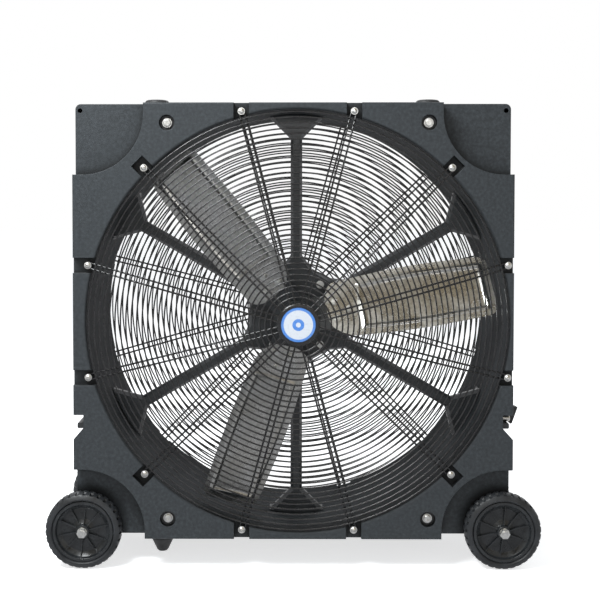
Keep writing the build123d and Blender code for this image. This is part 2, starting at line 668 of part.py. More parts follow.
def blade_and_arm():
    """One blade and the hub arm behind it, along +X, with their bolt holes and bolts."""
    prism = extrude(FACE_PLANE * blade_outline(), amount=120, both=True)
    inner = BLADE_CAMBER_R - BLADE_THICKNESS / 2
    blade = camber_sheet(inner, BLADE_THICKNESS, 40, BLADE_TIP_R + 10) & prism

    shape = Pos(HUB_ARM_END - 75, 0) * Rectangle(150, HUB_ARM_W)
    shape = fillet(shape.vertices(), 24)
    inner = BLADE_CAMBER_R + BLADE_THICKNESS / 2 + 0.1
    arm = camber_sheet(inner, HUB_ARM_T, 10, HUB_ARM_END + 5)
    arm &= extrude(FACE_PLANE * shape, amount=120, both=True)

    bolts = []
    for u, v in BLADE_BOLTS:
        sag = v * v / (2 * BLADE_CAMBER_R)
        place = Rot(-BLADE_PITCH, 0, 0) * Pos(u, -sag, v)
        hole = place * Rot(90, 0, 0) * Cylinder(4.2, 40)
        blade -= hole
        arm -= hole
        bolt = Rot(90, 0, 0) * Cylinder(4.0, 22)
        bolt += Pos(0, -5.2, 0) * Rot(90, 0, 0) * Cylinder(8.0, 6)
        bolt += Pos(0, 11.4, 0) * Rot(90, 0, 0) * Cylinder(7.5, 8)
        bolts.append(place * Pos(0, 0.4, 0) * bolt)
    return blade, arm, bolts


def make_rotor():
    """Shaft, rotor core, hub with three pitched arms, blades and their bolts."""
    shaft_end = REAR_BEARING_Y + BEARING_W - 1
    nodes["motor_shaft"] = rod_y(FAN_X, FAN_Z, SHAFT_R, SHAFT_FRONT_Y, shaft_end)
    nodes["rotor_core"] = ring_y(FAN_X, FAN_Z, ROTOR_R, SHAFT_R, CORE_Y0, CORE_Y1)

    blade, arm, bolts = blade_and_arm()
    hub = rod_y(FAN_X, FAN_Z, HUB_R, HUB_Y0, HUB_Y1)
    hub += rod_y(FAN_X, FAN_Z, HUB_DISC_R, FAN_Y - 6, FAN_Y + 12)
    for i, angle in enumerate(blade_angles()):
        hub += to_fan(arm, angle)
        nodes["blade_" + str(i + 1)] = to_fan(blade, angle)
    hub -= rod_y(FAN_X, FAN_Z, SHAFT_R + 0.02, HUB_Y0 - 1, HUB_Y1 + 1)
    set_screw_y = HUB_Y0 + 12
    nodes["fan_hub"] = hub - radial_rod(90, set_screw_y, 4.1, SHAFT_R - 1, HUB_R + 1)
    nodes["blade_bolts"] = group([to_fan(bolt, angle) for angle in blade_angles() for bolt in bolts])

    set_screw = radial_rod(90, set_screw_y, 4.0, SHAFT_R + 0.1, HUB_R - 6)
    washer = rod_y(FAN_X, FAN_Z, SHAFT_R + 6.5, HUB_Y0 - 4, HUB_Y0 - 0.1)
    washer = fillet(washer.edges().group_by(Axis.Y)[0], 2)
    washer -= rod_y(FAN_X, FAN_Z, SHAFT_R + 0.02, HUB_Y0 - 5, HUB_Y0)
    nodes["hub_screw_and_washer"] = group([set_screw, washer])


# ---------------------------------------------------------------- wheels and axles


def wheel_pieces(x, side):
    """Tyre and hub of one wheel, made for the rear and mirrored for the front."""
    y0, y1 = WHEEL_FACE_Y - WHEEL_WIDTH, WHEEL_FACE_Y
    middle = (y0 + y1) / 2
    band = Rectangle(WHEEL_R - WHEEL_RIM_R, WHEEL_WIDTH)
    band = Pos((WHEEL_RIM_R + WHEEL_R) / 2, middle) * band
    shoulders = [v for v in band.vertices() if v.X > WHEEL_RIM_R + 1]
    tyre = turned(fillet(shoulders, TYRE_SHOULDER_R), x, WHEEL_R)

    hub = ring_y(x, WHEEL_R, WHEEL_RIM_R - 0.05, WHEEL_RIM_R - 9, y0 + 3, y1 - 4)
    hub += rod_y(x, WHEEL_R, WHEEL_RIM_R - 6, middle - 3, middle + 3)
    hub += rod_y(x, WHEEL_R, WHEEL_BOSS_R, y0, y1)
    rib = box(
        x + WHEEL_BOSS_R - 3, x + WHEEL_RIM_R - 8,
        y0 + 8, y1 - 12,
        WHEEL_R - 1.5, WHEEL_R + 1.5,
    )
    for i in range(WHEEL_RIBS):
        turn = Pos(x, 0, WHEEL_R) * Rot(0, 360 / WHEEL_RIBS * i, 0) * Pos(-x, 0, -WHEEL_R)
        hub += turn * rib
    hub -= rod_y(x, WHEEL_R, AXLE_R + 0.05, y0 - 1, y1 + 1)
    return [mirrored(piece, side) for piece in (tyre, hub)]


def make_wheels():
    """Four wheels on two axle rods that run from face to face."""
    nut_y = WHEEL_FACE_Y + AXLE_GAP
    spacer_end = WHEEL_FACE_Y - WHEEL_WIDTH - AXLE_GAP
    nuts = []
    spacers = []
    for side_x, across in ((-1, "left"), (1, "right")):
        x = side_x * WHEEL_X
        nodes[across + "_axle"] = rod_y(x, WHEEL_R, AXLE_R, -AXLE_END_Y, AXLE_END_Y)
        for side_y, along in ((FRONT, "front"), (REAR, "rear")):
            tyre, hub = wheel_pieces(x, side_y)
            nodes["_".join((along, across, "tyre"))] = tyre
            nodes["_".join((along, across, "wheel_hub"))] = hub
            nut = ring_y(x, WHEEL_R, 12.5, AXLE_R, nut_y, nut_y + 2)
            nut += hex_y(x, WHEEL_R, 22, nut_y + 1.6, nut_y + 11.6)
            nut -= rod_y(x, WHEEL_R, AXLE_R, nut_y - 1, nut_y + 14)
            nuts.append(mirrored(nut, side_y))
            spacer = ring_y(x, WHEEL_R, 15, AXLE_R + 0.05, WELL_FACE_Y + 0.1, spacer_end)
            spacers.append(mirrored(spacer, side_y))
    nodes["axle_nuts"] = group(nuts)
    nodes["axle_spacers"] = group(spacers)


# ---------------------------------------------------------------- small pieces


def make_clamp_bolts():
    """Long bolts through both shells, each with a rubber grommet and a washer at both ends."""
    seat = HALF_D - COUNTERBORE_DEPTH
    bolts, grommets, nuts = [], [], []
    for x, z in through_bolt_places():
        bolt = rod_y(x, z, BOLT_R, -seat - 7, seat + 14)
        head = rod_y(x, z, BOLT_HEAD_R, -seat - 13, -seat - 6.2)
        head = fillet(head.edges().group_by(Axis.Y)[0], 2)
        bolts.append(bolt + head - hex_y(x, z, 8, -seat - 14, -seat - 9))
        for side in (FRONT, REAR):
            ring = ring_y(x, z, GROMMET_R, BOLT_R + 0.3, seat + 0.1, seat + 4)
            grommets.append(mirrored(ring, side))
            washer = ring_y(x, z, 2 * BOLT_R, BOLT_R + 0.1, seat + 4.1, seat + 6)
            nuts.append(mirrored(washer, side))
        nut = hex_y(x, z, 3 * BOLT_R, seat + 6.1, seat + 15)
        nuts.append(nut - rod_y(x, z, BOLT_R, seat, seat + 20))
    nodes["clamp_bolts"] = group(bolts)
    nodes["clamp_grommets"] = group(grommets)
    nodes["clamp_nuts_and_washers"] = group(nuts)


def side_rail(side_x, y0, y1):
    """Length of rail against the back of a side channel."""
    x0, x1 = sorted((side_x * (POCKET_BACK + 0.1), side_x * (POCKET_BACK + RAIL_W)))
    rail = box(x0, x1, y0, y1, RAIL_Z0, RAIL_Z1)
    return fillet(rail.edges().filter_by(Axis.Y), 3)


def make_rails():
    """Rails in the side channels; the right one has a gap where the cord cleat swings."""
    nodes["left_side_rail"] = side_rail(-1, -RAIL_Y, RAIL_Y)
    spans = [(-RAIL_Y, RAIL_NOTCH_Y0), (RAIL_NOTCH_Y1, RAIL_Y)]
    nodes["right_side_rail"] = group([side_rail(1, y0, y1) for y0, y1 in spans])


def make_gland():
    """Cable gland in the back of the right channel, with its domed nut."""
    back = POCKET_BACK
    bore = rod_x(GLAND_Y, GLAND_Z, CORD_R, back - 23, back + 30)
    gland = rod_x(GLAND_Y, GLAND_Z, GLAND_THREAD_R, back - 22, back + 14)
    gland += rod_x(GLAND_Y, GLAND_Z, GLAND_R, back + 0.1, back + 6)
    nodes["cable_gland"] = gland - bore
    nut = rod_x(GLAND_Y, GLAND_Z, GLAND_R, back + 6.1, back + 22)
    nut = fillet(nut.edges().group_by(Axis.X)[-1], 4)
    thread = rod_x(GLAND_Y, GLAND_Z, GLAND_THREAD_R + 0.1, back + 6, back + 14.1)
    nodes["gland_nut"] = nut - bore - thread


def make_cleat():
    """Cord cleat that swings on a pin between two ears under the channel's roof."""
    roof = POCKET_TOP - 0.1
    plate = box(
        CLEAT_PIN_X - 14, CLEAT_PIN_X + 8,
        CLEAT_Y0 - EAR_T - 0.4, CLEAT_Y1 + EAR_T + 0.4,
        roof - 3.9, roof,
    )
    bracket = plate
    for y0 in (CLEAT_Y0 - EAR_T - 0.4, CLEAT_Y1 + 0.4):
        ear = box(CLEAT_PIN_X - 8, CLEAT_PIN_X + 7, y0, y0 + EAR_T, CLEAT_PIN_Z - 5.5, roof - 3.8)
        bracket += fillet(ear.edges().filter_by(Axis.Y).group_by(Axis.Z)[0], 5)
    pin_hole = rod_y(CLEAT_PIN_X, CLEAT_PIN_Z, CLEAT_PIN_R, CLEAT_Y0 - 9, CLEAT_Y1 + 9)
    nodes["cleat_bracket"] = bracket - pin_hole
    nodes["cleat_pin"] = rod_y(CLEAT_PIN_X, CLEAT_PIN_Z, CLEAT_PIN_R, CLEAT_Y0 - 6, CLEAT_Y1 + 6)

    outline = make_face(Polyline(*CLEAT_POINTS, close=True)) + Circle(CLEAT_EYE_R)
    outline -= Circle(CLEAT_PIN_R + 0.05)
    nodes["cord_cleat"] = face_prism(Pos(CLEAT_PIN_X, CLEAT_PIN_Z) * outline, CLEAT_Y0, CLEAT_Y1)


def make_foot_and_studs():
    """Parking foot that slides in a sleeve, and two stacking studs on top."""
    profile = make_face(Polyline(*FOOT_POINTS, close=True))
    stem = Pos(FOOT_X, FOOT_Y, 22 + STEM_L / 2) * Cylinder(STEM_R, STEM_L)
    nodes["parking_foot"] = turned_z(profile, FOOT_X, FOOT_Y) - stem
    nodes["foot_stem"] = stem
    sleeve_z = HOUSING_BOTTOM + WALL + SLEEVE_L / 2
    sleeve = Pos(FOOT_X, FOOT_Y, sleeve_z) * Cylinder(SLEEVE_R, SLEEVE_L)
    sleeve += Pos(FOOT_X, FOOT_Y, HOUSING_BOTTOM + WALL + 2.1) * Cylinder(SLEEVE_R + 10, 4)
    sleeve -= Pos(FOOT_X, FOOT_Y, sleeve_z) * Cylinder(STEM_R + 0.08, SLEEVE_L + 30)
    nodes["foot_sleeve"] = sleeve

    studs = []
    for side_x in (-1, 1):
        stud_z = HOUSING_TOP + 0.1 + STUD_TOP / 2
        stud = Pos(side_x * STUD_X, STUD_Y, stud_z) * Cylinder(STUD_R, STUD_TOP)
        studs.append(fillet(stud.edges().group_by(Axis.Z)[-1], STUD_EDGE_R))
    nodes["stacking_studs"] = group(studs)


def square_at_knob(half, y0, y1):
    """Square block about the knob's axis."""
    return box(KNOB_X - half, KNOB_X + half, y0, y1, KNOB_Z - half, KNOB_Z + half)


def make_controls():
    """Speed switch on the rear face, with its plate and knob."""
    face = HALF_D + 0.1
    inside = HALF_D - WALL
    plate = square_at_knob(PLATE_HALF_W, face, face + 3)
    plate = fillet(plate.edges().filter_by(Axis.Y), 8)
    nodes["control_plate"] = plate - rod_y(KNOB_X, KNOB_Z, SWITCH_NECK_R + 0.5, face - 1, face + 4)
    switch = square_at_knob(SWITCH_HALF_W, inside - SWITCH_DEPTH, inside - 0.2)
    switch += rod_y(KNOB_X, KNOB_Z, SWITCH_NECK_R, inside - 1, face + 3.2)
    switch -= rod_y(KNOB_X, KNOB_Z, KNOB_SPINDLE_R + 0.05, HALF_D - 20, face + 10)
    nodes["speed_switch"] = switch
    knob = rod_y(KNOB_X, KNOB_Z, KNOB_SKIRT_R, face + 3.6, face + 8)
    knob += rod_y(KNOB_X, KNOB_Z, KNOB_R, face + 7, face + 22)
    knob += rod_y(KNOB_X, KNOB_Z, KNOB_SPINDLE_R, HALF_D - 18, face + 6)
    nodes["speed_knob"] = knob


make_housing()
make_guards()
make_spider()
make_motor()
make_rotor()
make_wheels()
make_clamp_bolts()
make_rails()
make_gland()
make_cleat()
make_foot_and_studs()
make_controls()

if __name__ == "__main__":
    os.makedirs(PARTS_FOLDER, exist_ok=True)
    for name, shape in nodes.items():
        shape.label = name
        export_step(shape, os.path.join(PARTS_FOLDER, name + ".step"))
        print(name, len(shape.solids()), round(shape.volume / 1000), "cm3")
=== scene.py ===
import json
import math

import bmesh
import bpy
import numpy as np
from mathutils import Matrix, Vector


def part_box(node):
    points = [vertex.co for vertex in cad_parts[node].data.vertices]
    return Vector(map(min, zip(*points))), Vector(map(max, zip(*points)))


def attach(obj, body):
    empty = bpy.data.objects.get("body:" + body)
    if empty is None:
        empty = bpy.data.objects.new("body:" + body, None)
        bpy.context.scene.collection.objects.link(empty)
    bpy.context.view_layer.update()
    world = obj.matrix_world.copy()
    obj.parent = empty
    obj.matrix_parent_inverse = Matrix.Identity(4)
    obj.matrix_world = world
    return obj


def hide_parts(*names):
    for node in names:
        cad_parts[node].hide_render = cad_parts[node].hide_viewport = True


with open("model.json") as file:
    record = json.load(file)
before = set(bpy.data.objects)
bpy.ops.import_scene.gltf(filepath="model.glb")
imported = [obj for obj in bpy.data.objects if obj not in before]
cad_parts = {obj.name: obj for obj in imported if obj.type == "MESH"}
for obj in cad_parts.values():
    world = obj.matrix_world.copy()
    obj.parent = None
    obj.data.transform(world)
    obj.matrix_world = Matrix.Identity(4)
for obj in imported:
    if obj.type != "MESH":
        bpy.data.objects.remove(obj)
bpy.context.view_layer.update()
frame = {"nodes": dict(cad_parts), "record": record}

# Looks of a portable 42-inch axial air mover. Everything is in metres, in the CAD frame:
# +Z up, -Y the front. CAD nodes keep their shape; blades, tyres, wheel hubs and the badge
# are finer meshes that replace their CAD nodes and ride on the same bodies.

# ---------------------------------------------------------------- places read from the frame
plate_low, plate_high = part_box("front_guard_centre_plate")
FAN_X = (plate_low.x + plate_high.x) / 2
FAN_Z = (plate_low.z + plate_high.z) / 2
FACE_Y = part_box("front_housing_shell")[0].y
BLADE_COUNT = 3
DUCT_R = 0.540                # just outside the duct's inner wall; inside it the housing gets painted shade and a matt finish
BADGE_R = (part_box("badge_disc")[1].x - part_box("badge_disc")[0].x) / 2


# ---------------------------------------------------------------- camera, light and floor
CAMERA_DISTANCE = 2.61        # from the housing's front face
CAMERA_X = -0.044
CAMERA_Z = 0.938
CAMERA_PITCH = math.radians(1.6)
CAMERA_TURN = math.radians(0.4)
CAMERA_LENS = 62.0
CAMERA_SHIFT = (0.0525, -0.1161)


def make_camera():
    """Front view, a little left of the middle and above it."""
    data = bpy.data.cameras.new("camera")
    data.lens = CAMERA_LENS
    data.sensor_width = 36
    data.shift_x, data.shift_y = CAMERA_SHIFT
    data.clip_end = 100
    camera = bpy.data.objects.new("camera", data)
    camera.location = (CAMERA_X, FACE_Y - CAMERA_DISTANCE, CAMERA_Z)
    camera.rotation_euler = (math.pi / 2 - CAMERA_PITCH, 0, CAMERA_TURN)
    bpy.context.scene.collection.objects.link(camera)
    bpy.context.scene.camera = camera


def area_light(name, place, target, size, power, colour=(1, 1, 1)):
    """Soft rectangular light aimed at a point."""
    data = bpy.data.lights.new(name, "AREA")
    data.shape = "RECTANGLE"
    data.size, data.size_y = size
    data.energy = power
    data.color = colour
    light = bpy.data.objects.new(name, data)
    light.location = place
    aim = Vector(target) - Vector(place)
    light.rotation_euler = aim.to_track_quat("-Z", "Y").to_euler()
    bpy.context.scene.collection.objects.link(light)


def make_world():
    """White backdrop, a softer grey for light, and in reflections a dim room, warm near its ceiling."""
    world = bpy.data.worlds.new("studio")
    bpy.context.scene.world = world
    world.use_nodes = True
    tree = world.node_tree
    split = tree.nodes.new("ShaderNodeSeparateXYZ")
    tree.links.new(tree.nodes.new("ShaderNodeTexCoord").outputs["Generated"], split.inputs[0])

    def blend(factor, low, high, start, stop):
        """Colour that goes from low to high as the factor goes from start to stop."""
        spread = tree.nodes.new("ShaderNodeMapRange")
        spread.inputs["From Min"].default_value = start
        spread.inputs["From Max"].default_value = stop
        tree.links.new(factor, spread.inputs["Value"])
        mix = tree.nodes.new("ShaderNodeMix")
        mix.data_type = "RGBA"
        tree.links.new(spread.outputs["Result"], mix.inputs[0])
        for socket, value in ((mix.inputs[6], low), (mix.inputs[7], high)):
            if isinstance(value, tuple):
                socket.default_value = (*value, 1)
            else:
                tree.links.new(value, socket)
        return mix.outputs[2]

    front = blend(split.outputs["Z"], (0.46, 0.47, 0.49), (0.35, 0.29, 0.19), -0.2, 0.6)
    room = blend(split.outputs["Y"], front, (0.9, 0.9, 0.92), -0.1, 0.3)
    rays = tree.nodes.new("ShaderNodeLightPath").outputs
    seen = blend(rays["Is Glossy Ray"], (0.42, 0.44, 0.46), room, 0, 1)
    seen = blend(rays["Is Camera Ray"], seen, (1.0, 1.0, 1.0), 0, 1)
    tree.links.new(seen, tree.nodes["Background"].inputs["Color"])


def make_floor():
    """Plain pale floor that glows a little and stays out of reflections."""
    bpy.ops.mesh.primitive_plane_add(size=60, location=(0, 0, 0))
    floor = bpy.context.object
    floor.name = "floor"
    floor.visible_glossy = False
    paint = bpy.data.materials.new("floor_paint")
    paint.use_nodes = True
    shader = paint.node_tree.nodes["Principled BSDF"]
    shader.inputs["Base Color"].default_value = (0.85, 0.85, 0.85, 1)
    shader.inputs["Roughness"].default_value = 0.8
    shader.inputs["Specular IOR Level"].default_value = 0
    shader.inputs["Emission Color"].default_value = (1, 1, 1, 1)
    shader.inputs["Emission Strength"].default_value = 0.65
    floor.data.materials.append(paint)


def make_studio():
    """Soft key light from the upper left, weak ones in front and on the right, and one behind."""
    bpy.context.scene.view_settings.view_transform = "Standard"
    make_world()
    make_floor()
    middle = (0, 0, 0.7)
    area_light("key", (-1.3, -1.3, 2.7), (-0.3, 0, 1.15), (1.3, 0.9), 110, (0.94, 0.98, 1.0))
    area_light("front", (0.1, -3.5, 1.5), middle, (1.6, 0.5), 8)
    area_light("fill", (2.5, -2.9, 1.3), middle, (0.7, 1.8), 3, (1.0, 0.90, 0.76))
    area_light("back", (0.5, 3.2, 2.6), middle, (3.0, 1.6), 30)


# ---------------------------------------------------------------- material building blocks
class Finish:
    """A Principled material with procedural layers on it."""

    def __init__(self, name, colour, roughness, metallic=0.0, specular=0.5):
        self.material = bpy.data.materials.new(name)
        self.material.use_nodes = True
        self.tree = self.material.node_tree
        self.shader = self.tree.nodes["Principled BSDF"]
        self.shader.inputs["Base Color"].default_value = (*colour, 1)
        self.shader.inputs["Roughness"].default_value = roughness
        self.shader.inputs["Metallic"].default_value = metallic
        self.shader.inputs["Specular IOR Level"].default_value = specular
        self.coords = self.node("ShaderNodeTexCoord").outputs["Object"]
        self.last_bump = None

    def node(self, kind, **settings):
        """New shader node with some of its settings."""
        made = self.tree.nodes.new(kind)
        for key, value in settings.items():
            setattr(made, key, value)
        return made

    def link(self, a, b):
        """Join an output to an input."""
        self.tree.links.new(a, b)

    def scaled(self, stretch):
        """Object coordinates stretched per axis."""
        mapping = self.node("ShaderNodeMapping")
        mapping.inputs["Scale"].default_value = stretch
        self.link(self.coords, mapping.inputs["Vector"])
        return mapping.outputs["Vector"]

    def noise(self, size, detail=3.0, stretch=None, distortion=0.0):
        """Noise whose features are about size metres across."""
        noise = self.node("ShaderNodeTexNoise")
        noise.inputs["Scale"].default_value = 0.5 / size
        noise.inputs["Detail"].default_value = detail
        noise.inputs["Distortion"].default_value = distortion
        noise.inputs["Roughness"].default_value = 0.55
        self.link(self.scaled(stretch) if stretch else self.coords, noise.inputs["Vector"])
        return noise.outputs["Fac"]

    def ramp(self, factor, stops, interpolation="LINEAR"):
        """Colours along a factor; stops are (position, colour)."""
        ramp = self.node("ShaderNodeValToRGB")
        ramp.color_ramp.interpolation = interpolation
        elements = ramp.color_ramp.elements
        while len(elements) < len(stops):
            elements.new(0.5)
        for element, (position, colour) in zip(elements, stops):
            element.position = position
            element.color = (*colour, 1)
        self.link(factor, ramp.inputs["Fac"])
        return ramp.outputs["Color"]

    def spread(self, factor, low, high):
        """The useful middle of a noise, 0.3 to 0.7, mapped onto low to high."""
        mapped = self.node("ShaderNodeMapRange")
        mapped.inputs["From Min"].default_value = 0.3
        mapped.inputs["From Max"].default_value = 0.7
        mapped.inputs["To Min"].default_value = low
        mapped.inputs["To Max"].default_value = high
        self.link(factor, mapped.inputs["Value"])
        return mapped.outputs["Result"]

    def mix(self, factor, a, b):
        """Mix two colours; either may be a plain tuple, and the factor a number."""
        mix = self.node("ShaderNodeMix", data_type="RGBA")
        for socket, value in ((mix.inputs[0], factor), (mix.inputs[6], a), (mix.inputs[7], b)):
            if isinstance(value, tuple):
                socket.default_value = (*value, 1)
            elif isinstance(value, (int, float)):
                socket.default_value = value
            else:
                self.link(value, socket)
        return mix.outputs[2]

    def from_fan_axis(self, reach):
        """Distance from the fan's axis, 1 at the given reach."""
        offset = self.node("ShaderNodeVectorMath", operation="SUBTRACT")
        offset.inputs[1].default_value = (FAN_X, 0, FAN_Z)
        self.link(self.coords, offset.inputs[0])
        flat = self.node("ShaderNodeVectorMath", operation="MULTIPLY")
        flat.inputs[1].default_value = (1 / reach, 0, 1 / reach)
        self.link(offset.outputs["Vector"], flat.inputs[0])
        length = self.node("ShaderNodeVectorMath", operation="LENGTH")
        self.link(flat.outputs["Vector"], length.inputs[0])
        return length.outputs["Value"]

    def corner_shade(self, reach):
        """Painted shade from ambient occlusion: 0 deep in a corner, 1 on open faces."""
        occlusion = self.node("ShaderNodeAmbientOcclusion", samples=6)
        occlusion.inputs["Distance"].default_value = reach
        return self.ramp(occlusion.outputs["AO"], [(0.5, (0, 0, 0)), (0.9, (1, 1, 1))])

    def base(self, colour):
        """Colour from a node."""
        self.link(colour, self.shader.inputs["Base Color"])

    def rough(self, value):
        """Roughness from a node."""
        self.link(value, self.shader.inputs["Roughness"])

    def soften_edges(self, radius):
        """Rounded look on sharp edges; the next bump carries it to the shader."""
        bevel = self.node("ShaderNodeBevel", samples=4)
        bevel.inputs["Radius"].default_value = radius
        self.last_bump = bevel.outputs["Normal"]

    def bump(self, height, depth, strength=1.0):
        """Bump in metres; several of them add up."""
        bump = self.node("ShaderNodeBump")
        bump.inputs["Distance"].default_value = depth
        bump.inputs["Strength"].default_value = strength
        self.link(height, bump.inputs["Height"])
        if self.last_bump:
            self.link(self.last_bump, bump.inputs["Normal"])
        self.last_bump = bump.outputs["Normal"]
        self.link(self.last_bump, self.shader.inputs["Normal"])


def shade(colour, factor):
    """A colour made lighter or darker."""
    return tuple(min(1.0, c * factor) for c in colour)


# ---------------------------------------------------------------- materials
def housing_poly():
    """Rotomoulded polyethylene: charcoal, pebbled, mottled, scuffed, matt in the duct, with painted
    shade darkening the duct wall and the corners.
    """
    colour = (0.0255, 0.0295, 0.033)
    f = Finish("housing_poly", colour, 0.5, specular=0.3)
    f.soften_edges(0.003)
    mottle = f.noise(0.004, 2.0)
    tone = f.ramp(mottle, [(0.3, shade(colour, 0.72)), (0.5, colour), (0.7, shade(colour, 1.4))])
    clouds = f.noise(0.16, 3.0)
    tone = f.mix(f.spread(clouds, 0.0, 0.35), tone, shade(colour, 1.25))
    scuff = f.noise(0.05, 6.0, stretch=(1.0, 1.0, 5.0), distortion=1.5)
    scuff_mask = f.ramp(scuff, [(0.66, (0, 0, 0)), (0.72, (1, 1, 1))])
    scuffed = f.mix(f.mix(0.25, (0.0, 0.0, 0.0), scuff_mask), tone, shade(colour, 2.4))
    # Painted shade: inside the duct's radius the colour is darkened to 0.7 of itself, and the roughness
    # below turns matt there.
    duct = f.ramp(f.from_fan_axis(2 * DUCT_R), [(0.497, (1, 1, 1)), (0.503, (0, 0, 0))])
    # Painted shade: corners and recess edges darken towards a fifth of the colour.
    f.base(f.mix(f.corner_shade(0.03), shade(colour, 0.2), f.mix(duct, scuffed, shade(colour, 0.7))))
    skin = f.mix(f.noise(0.02, 4.0), (0.36, 0.36, 0.36), (0.68, 0.68, 0.68))
    f.rough(f.mix(duct, skin, (0.9, 0.9, 0.9)))
    f.bump(f.noise(0.0016, 2.0), 0.0006, 0.55)
    f.bump(f.noise(0.03, 2.0), 0.0012, 0.5)
    return f.material


def powder_coat(name, colour, roughness, grain=0.0012):
    """Powder-coated steel: slight orange peel and uneven gloss."""
    f = Finish(name, colour, roughness)
    f.shader.inputs["Coat Weight"].default_value = 0.35
    f.shader.inputs["Coat Roughness"].default_value = 0.12
    tone = f.noise(0.02, 3.0)
    f.base(f.ramp(tone, [(0.3, shade(colour, 0.75)), (0.7, shade(colour, 1.35))]))
    f.rough(f.spread(f.noise(0.01, 3.0), roughness - 0.06, roughness + 0.08))
    f.bump(f.noise(grain, 1.0), 0.0002, 0.3)
    return f.material


def blade_metal():
    """Galvanised sheet: faint spangle, uneven gloss and dusty patches."""
    colour = (0.66, 0.66, 0.65)
    f = Finish("blade_metal", colour, 0.36, metallic=1.0)
    spangle = f.node("ShaderNodeTexVoronoi")
    spangle.inputs["Scale"].default_value = 160
    f.link(f.coords, spangle.inputs["Vector"])
    grains = f.ramp(spangle.outputs["Color"], [(0.2, shade(colour, 0.82)), (0.8, shade(colour, 1.15))])
    dust = f.noise(0.05, 5.0, distortion=0.6)
    f.base(f.mix(f.spread(dust, 0.0, 0.45), grains, (0.46, 0.43, 0.36)))
    f.rough(f.spread(f.noise(0.03, 5.0), 0.2, 0.36))
    f.bump(f.noise(0.006, 3.0), 0.0003, 0.35)
    return f.material


def metal(name, colour, roughness, streak=(1.0, 1.0, 1.0), bump=0.0001):
    """Bright metal with fine tool marks and a little tarnish."""
    f = Finish(name, colour, roughness, metallic=1.0)
    tone = f.noise(0.004, 4.0, stretch=streak)
    f.base(f.ramp(tone, [(0.25, shade(colour, 0.7)), (0.75, shade(colour, 1.1))]))
    f.rough(f.spread(f.noise(0.002, 3.0, stretch=streak), roughness - 0.07, roughness + 0.12))
    f.bump(f.noise(0.0006, 2.0, stretch=streak), bump, 0.4)
    return f.material


def rubber(name, colour, roughness):
    """Moulded rubber: matt, slightly dusty."""
    f = Finish(name, colour, roughness, specular=0.4)
    dust = f.noise(0.02, 5.0)
    f.base(f.ramp(dust, [(0.35, colour), (0.75, shade(colour, 2.2))]))
    f.rough(f.spread(f.noise(0.008, 3.0), roughness - 0.14, roughness + 0.1))
    f.bump(f.noise(0.0008, 2.0), 0.0003, 0.4)
    return f.material


def moulded_plastic(name, colour, roughness):
    """Injection-moulded black plastic with a faint flow texture."""
    f = Finish(name, colour, roughness)
    flow = f.noise(0.012, 3.0, distortion=0.8)
    f.base(f.ramp(flow, [(0.3, shade(colour, 0.8)), (0.7, shade(colour, 1.45))]))
    f.rough(f.spread(f.noise(0.006, 3.0), roughness - 0.08, roughness + 0.1))
    f.bump(f.noise(0.0008, 2.0), 0.00015, 0.35)
    return f.material


def badge_print():
    """Printed disc: plain concentric rings of blue and white under a clear coat."""
    blue = (0.035, 0.17, 0.52)
    f = Finish("badge_print", blue, 0.3)
    f.shader.inputs["Coat Weight"].default_value = 0.6
    f.shader.inputs["Coat Roughness"].default_value = 0.08
    white = (0.50, 0.53, 0.58)
    stops = [(0.0, white), (0.14, blue), (0.34, white), (0.84, blue)]
    rings = f.ramp(f.from_fan_axis(BADGE_R), stops, "CONSTANT")
    f.base(f.mix(f.spread(f.noise(0.01, 4.0), 0.0, 0.12), rings, (0.4, 0.42, 0.44)))
    f.rough(f.spread(f.noise(0.004, 3.0), 0.24, 0.36))
    f.bump(f.noise(0.002, 2.0), 0.0001, 0.3)
    return f.material


def make_materials():
    """One material for each slot of the record."""
    return {
        "housing_poly": housing_poly(),
        "guard_wire": powder_coat("guard_wire", (0.010, 0.010, 0.011), 0.24),
        "frame_paint": powder_coat("frame_paint", (0.020, 0.022, 0.024), 0.42),
        "motor_paint": powder_coat("motor_paint", (0.026, 0.028, 0.031), 0.46, 0.002),
        "blade_metal": blade_metal(),
        "zinc": metal("zinc", (0.86, 0.86, 0.84), 0.34),
        "nickel": metal("nickel", (0.78, 0.76, 0.70), 0.2, streak=(1, 6, 6)),
        "steel": metal("steel", (0.5, 0.5, 0.5), 0.3),
        "copper": metal("copper", (0.62, 0.27, 0.12), 0.35, streak=(1, 8, 1), bump=0.0006),
        "capacitor_can": metal("capacitor_can", (0.68, 0.69, 0.7), 0.35, streak=(3, 0.5, 3)),
        "badge_blue": badge_print(),
        "tyre": rubber("tyre", (0.012, 0.013, 0.0145), 0.48),
        "rubber": rubber("rubber", (0.017, 0.017, 0.018), 0.6),
        "wheel_plastic": moulded_plastic("wheel_plastic", (0.014, 0.0155, 0.017), 0.3),
        "trim_plastic": moulded_plastic("trim_plastic", (0.013, 0.013, 0.014), 0.42),
    }


# ---------------------------------------------------------------- mesh building blocks
def add_mesh(name, verts, faces, body, slot, replaced, smooth_angle):
    """Mesh piece that replaces a CAD node and rides on its body."""
    mesh = bpy.data.meshes.new(name)
    mesh.from_pydata([tuple(v) for v in verts], [], faces)
    mesh.validate()
    mesh.update()
    piece = bpy.data.objects.new(name, mesh)
    bpy.context.scene.collection.objects.link(piece)
    mesh.materials.append(materials[slot])
    fix_normals(mesh)
    smooth(mesh, smooth_angle)
    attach(piece, body)
    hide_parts(replaced)


def fix_normals(mesh):
    """Make all faces point outward."""
    work = bmesh.new()
    work.from_mesh(mesh)
    bmesh.ops.recalc_face_normals(work, faces=work.faces)
    work.to_mesh(mesh)
    work.free()


def smooth(mesh, angle):
    """Smooth shading, with edges sharper than the angle kept sharp."""
    mesh.polygons.foreach_set("use_smooth", [True] * len(mesh.polygons))
    mesh.set_sharp_from_angle(angle=math.radians(angle))


